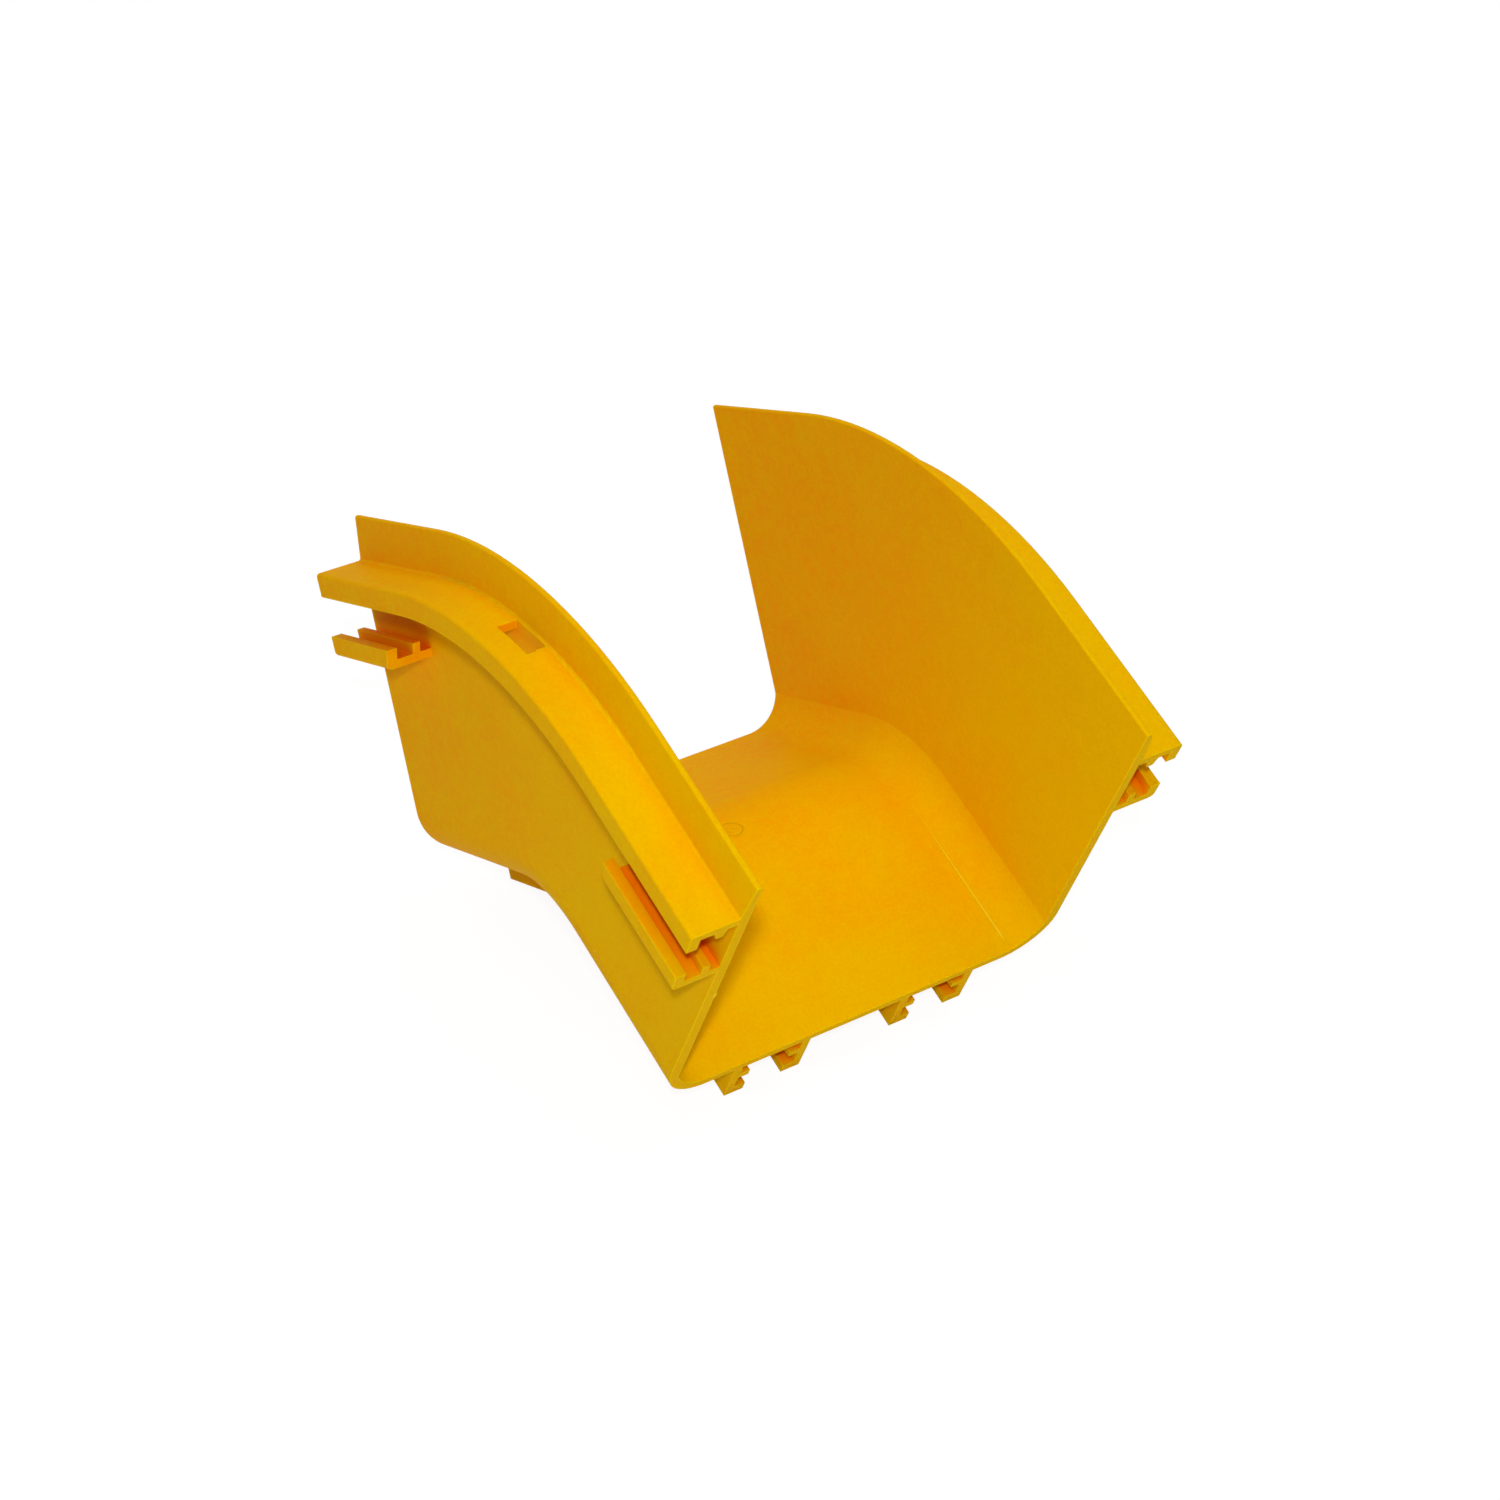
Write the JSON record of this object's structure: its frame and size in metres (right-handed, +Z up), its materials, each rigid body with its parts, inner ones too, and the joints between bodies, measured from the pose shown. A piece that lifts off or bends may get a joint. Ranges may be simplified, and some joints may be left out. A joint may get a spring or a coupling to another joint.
{
  "type": "fibre raceway elbow",
  "caption": "U-shaped yellow plastic cable channel bent down over an elbow, with outer flanges along its walls and short clip rails on its sides and underside.",
  "frame": {"origin": "on the surface the elbow stands on, under the middle of the bend", "axes": "+X along the channel to the front end, +Y across it to the left wall, +Z up"},
  "size_m": [0.1936, 0.145, 0.1315],
  "materials": {
    "yellow_plastic": "satin moulded"
  },
  "bodies": {
    "root": {"raceway_elbow": "yellow_plastic"}
  },
  "joints": []
}
